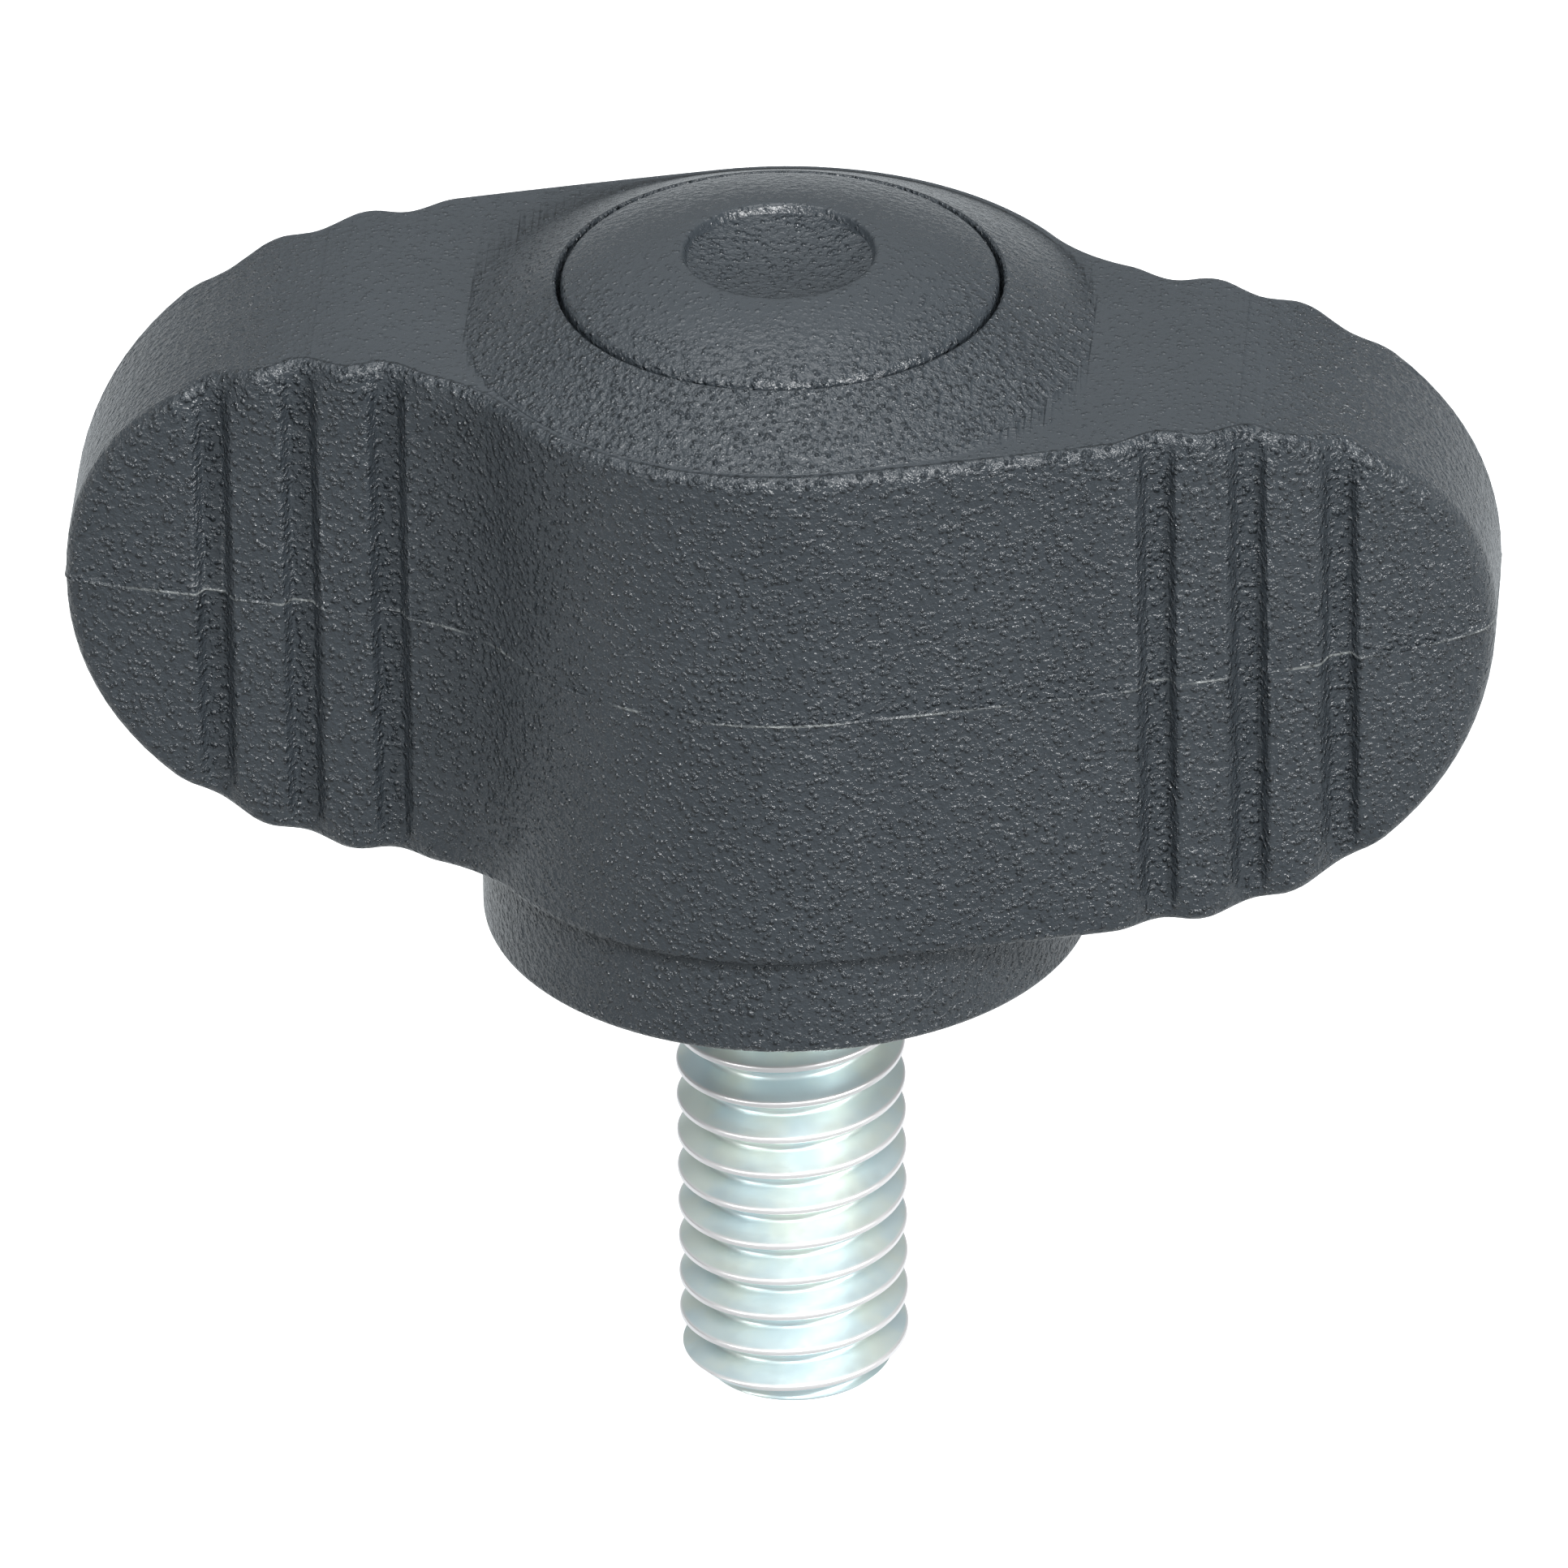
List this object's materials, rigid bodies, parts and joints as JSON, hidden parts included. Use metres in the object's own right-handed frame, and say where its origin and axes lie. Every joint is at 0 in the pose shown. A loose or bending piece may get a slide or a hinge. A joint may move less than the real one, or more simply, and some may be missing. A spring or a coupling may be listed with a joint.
{
  "type": "wing screw",
  "caption": "Two-winged plastic hand screw with grip grooves, a push-in hub cap and a zinc-plated coarse-thread screw.",
  "frame": {"origin": "on the screw's axis at the flat underside of the collar, the face that clamps", "axes": "+Z along the screw's axis from its point towards the cap; +X along the wings, tip to tip"},
  "size_m": [0.0488, 0.0224, 0.0436],
  "materials": {
    "body_plastic": "coarse moulded grain, glass-filled nylon",
    "cap_plastic": "fine moulded grain, glass-filled nylon",
    "zinc_steel": "bright zinc plate with a clear blue passivate"
  },
  "bodies": {
    "knob": {"wing_body": "body_plastic", "hex_screw": "zinc_steel"},
    "cap": {"hub_cap": "cap_plastic"}
  },
  "joints": [
    {"name": "cap_pull", "type": "slide", "parent": "knob", "child": "cap", "axis": [0, 0, 1], "range_m": [0, 0.012]}
  ]
}
